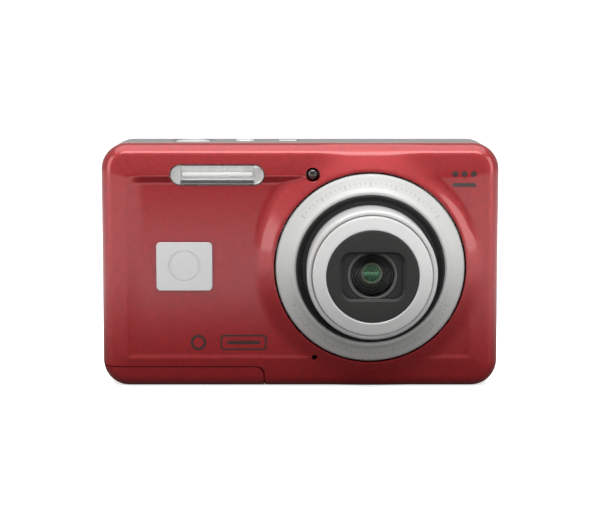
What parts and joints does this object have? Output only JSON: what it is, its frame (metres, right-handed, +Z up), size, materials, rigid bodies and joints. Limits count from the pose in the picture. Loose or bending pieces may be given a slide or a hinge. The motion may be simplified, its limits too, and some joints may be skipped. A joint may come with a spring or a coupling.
{
  "type": "compact digital camera",
  "caption": "Slim compact digital camera, red front cover, telescoping zoom lens in a bright ring, flash window, rear screen and keys, hinged battery door.",
  "frame": {"origin": "on the base, under the middle of the body's width and depth", "axes": "+X along the width, towards the lens side; -Y is the way the lens looks; +Z up"},
  "size_m": [0.0914, 0.0334, 0.0568],
  "materials": {
    "red_paint": "gloss lacquer over fine metal flake",
    "grey_cover": "fine satin paint",
    "bright_ring": "satin turned face",
    "barrel_silver": "satin",
    "bright_key": "satin chrome plate",
    "grey_key": "semi-gloss",
    "black_plastic": "fine grain",
    "screen_glass": "gloss",
    "clear_window": "ribbed inside, polished outside",
    "lens_glass": "green coated",
    "steel": "plain sheet",
    "gold_contact": "plated",
    "board": "solder mask",
    "battery_case": "satin",
    "lamp_red": "gloss",
    "record_red": "gloss",
    "white_gear": "plain",
    "flap_rubber": "matt"
  },
  "bodies": {
    "body": {"front_cover": "red_paint", "rear_cover": "grey_cover", "inner_frame": "steel", "lens_ring": "bright_ring", "lens_collar": "black_plastic", "lens_housing": "black_plastic", "guide_rods": "steel", "sensor_board": "board", "image_sensor": "screen_glass", "zoom_motor": "steel", "flash_window": "clear_window", "flash_reflector": "steel", "flash_tube": "clear_window", "flash_capacitor": "battery_case", "af_lamp_lens": "lamp_red", "microphone": "steel", "front_badge": "bright_key", "battery_bay": "black_plastic", "battery": "battery_case", "battery_contacts": "gold_contact", "card_socket": "steel", "memory_card": "battery_case", "main_board": "board", "button_board": "board", "screen_panel": "screen_glass", "screen_window": "screen_glass", "speaker": "black_plastic", "usb_port": "steel", "strap_bar": "steel", "tripod_socket": "steel", "status_lamp": "clear_window", "cover_screws": "steel", "door_hinge_pin": "steel"},
    "cam_ring": {"cam_ring": "black_plastic"},
    "motor_pinion": {"motor_pinion": "white_gear"},
    "outer_barrel": {"outer_barrel": "barrel_silver"},
    "inner_barrel": {"inner_barrel": "barrel_silver", "front_plate": "black_plastic", "lens_cell": "black_plastic", "front_lens": "lens_glass", "lens_retaining_ring": "black_plastic", "shutter_unit": "black_plastic"},
    "upper_blade": {"upper_blade": "black_plastic"},
    "lower_blade": {"lower_blade": "black_plastic"},
    "focus_group": {"focus_carrier": "black_plastic", "focus_lens": "lens_glass"},
    "shutter_button": {"shutter_button": "bright_key"},
    "power_button": {"power_button": "bright_key"},
    "mode_button": {"mode_button": "bright_key"},
    "zoom_rocker": {"zoom_rocker": "grey_key"},
    "record_button": {"record_button": "record_red"},
    "menu_button": {"menu_button": "grey_key"},
    "play_button": {"play_button": "grey_key"},
    "delete_button": {"delete_button": "grey_key"},
    "direction_pad": {"direction_pad": "grey_key"},
    "ok_button": {"ok_button": "grey_key"},
    "battery_door": {"battery_door": "red_paint"},
    "door_latch": {"door_latch": "black_plastic"},
    "usb_cover": {"usb_cover": "flap_rubber"}
  },
  "joints": [
    {"name": "cam_ring_turn", "type": "hinge", "parent": "body", "child": "cam_ring", "pos_m": [0.016, 0, 0.02825], "axis": [0, -1, 0], "range_deg": [-100, 0]},
    {"name": "motor_pinion_turn", "type": "hinge", "parent": "body", "child": "motor_pinion", "pos_m": [0.03369, 0, 0.01586], "axis": [0, -1, 0], "range_deg": [0, 500]},
    {"name": "outer_barrel_slide", "type": "slide", "parent": "body", "child": "outer_barrel", "axis": [0, -1, 0], "range_m": [-0.008, 0]},
    {"name": "inner_barrel_slide", "type": "slide", "parent": "outer_barrel", "child": "inner_barrel", "axis": [0, -1, 0], "range_m": [-0.0018, 0.0085]},
    {"name": "upper_blade_slide", "type": "slide", "parent": "inner_barrel", "child": "upper_blade", "axis": [0, 0, 1], "range_m": [-0.0052, 0]},
    {"name": "lower_blade_slide", "type": "slide", "parent": "inner_barrel", "child": "lower_blade", "axis": [0, 0, -1], "range_m": [-0.0052, 0]},
    {"name": "focus_slide", "type": "slide", "parent": "body", "child": "focus_group", "axis": [0, -1, 0], "range_m": [-0.0012, 0.0012]},
    {"name": "shutter_press", "type": "slide", "parent": "body", "child": "shutter_button", "axis": [0, 0, -1], "range_m": [0, 0.0008], "stiffness_N_per_m": 300},
    {"name": "power_press", "type": "slide", "parent": "body", "child": "power_button", "axis": [0, 0, -1], "range_m": [0, 0.00035], "stiffness_N_per_m": 300},
    {"name": "mode_press", "type": "slide", "parent": "body", "child": "mode_button", "axis": [0, 0, -1], "range_m": [0, 0.00035], "stiffness_N_per_m": 300},
    {"name": "zoom_rock", "type": "hinge", "parent": "body", "child": "zoom_rocker", "pos_m": [-0.03475, 0.008, 0.0483], "axis": [0, 0, 1], "range_deg": [-4, 4], "stiffness_Nm_per_rad": 0.02},
    {"name": "record_press", "type": "slide", "parent": "body", "child": "record_button", "axis": [0, -1, 0], "range_m": [0, 0.00035], "stiffness_N_per_m": 300},
    {"name": "menu_press", "type": "slide", "parent": "body", "child": "menu_button", "axis": [0, -1, 0], "range_m": [0, 0.00035], "stiffness_N_per_m": 300},
    {"name": "play_press", "type": "slide", "parent": "body", "child": "play_button", "axis": [0, -1, 0], "range_m": [0, 0.00035], "stiffness_N_per_m": 300},
    {"name": "delete_press", "type": "slide", "parent": "body", "child": "delete_button", "axis": [0, -1, 0], "range_m": [0, 0.00035], "stiffness_N_per_m": 300},
    {"name": "pad_press", "type": "slide", "parent": "body", "child": "direction_pad", "axis": [0, -1, 0], "range_m": [0, 0.00035], "stiffness_N_per_m": 300},
    {"name": "ok_press", "type": "slide", "parent": "body", "child": "ok_button", "axis": [0, -1, 0], "range_m": [0, 0.00035], "stiffness_N_per_m": 300},
    {"name": "battery_door_swing", "type": "hinge", "parent": "body", "child": "battery_door", "pos_m": [-0.02, 0.0074, 0.0008], "axis": [1, 0, 0], "range_deg": [0, 90]},
    {"name": "door_latch_slide", "type": "slide", "parent": "battery_door", "child": "door_latch", "axis": [-1, 0, 0], "range_m": [0, 0.002]},
    {"name": "usb_cover_swing", "type": "hinge", "parent": "body", "child": "usb_cover", "pos_m": [0.04515, 0.006, 0.016], "axis": [0, 0, 1], "range_deg": [0, 100]}
  ],
  "couplings": [
    {"joint": "cam_ring_turn", "follows": "outer_barrel_slide", "rad_per_m": 218.17},
    {"joint": "motor_pinion_turn", "follows": "outer_barrel_slide", "rad_per_m": -1090.8},
    {"joint": "upper_blade_slide", "follows": "outer_barrel_slide", "ratio": 0.65},
    {"joint": "lower_blade_slide", "follows": "outer_barrel_slide", "ratio": 0.65}
  ]
}
